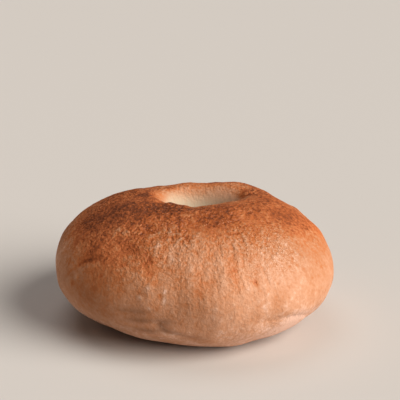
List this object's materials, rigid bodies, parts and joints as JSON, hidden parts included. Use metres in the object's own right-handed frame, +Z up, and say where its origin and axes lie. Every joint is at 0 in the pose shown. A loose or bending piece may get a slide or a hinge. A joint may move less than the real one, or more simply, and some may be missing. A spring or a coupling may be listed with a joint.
{
  "type": "bagel",
  "caption": "Plain puffy baked bagel: a closed ring of dough with a browned crust, a small funnelled hole through the middle and a small flat underneath.",
  "frame": {"origin": "bottom centre of the bounding box, on the surface the bagel rests on", "axes": "+Z up through the hole, +X along the long way of the slightly oval ring, +Y to the back"},
  "size_m": [0.1096, 0.1056, 0.0507],
  "materials": {
    "baked_crust": "satin"
  },
  "bodies": {
    "root": {"bagel": "baked_crust"}
  },
  "joints": []
}
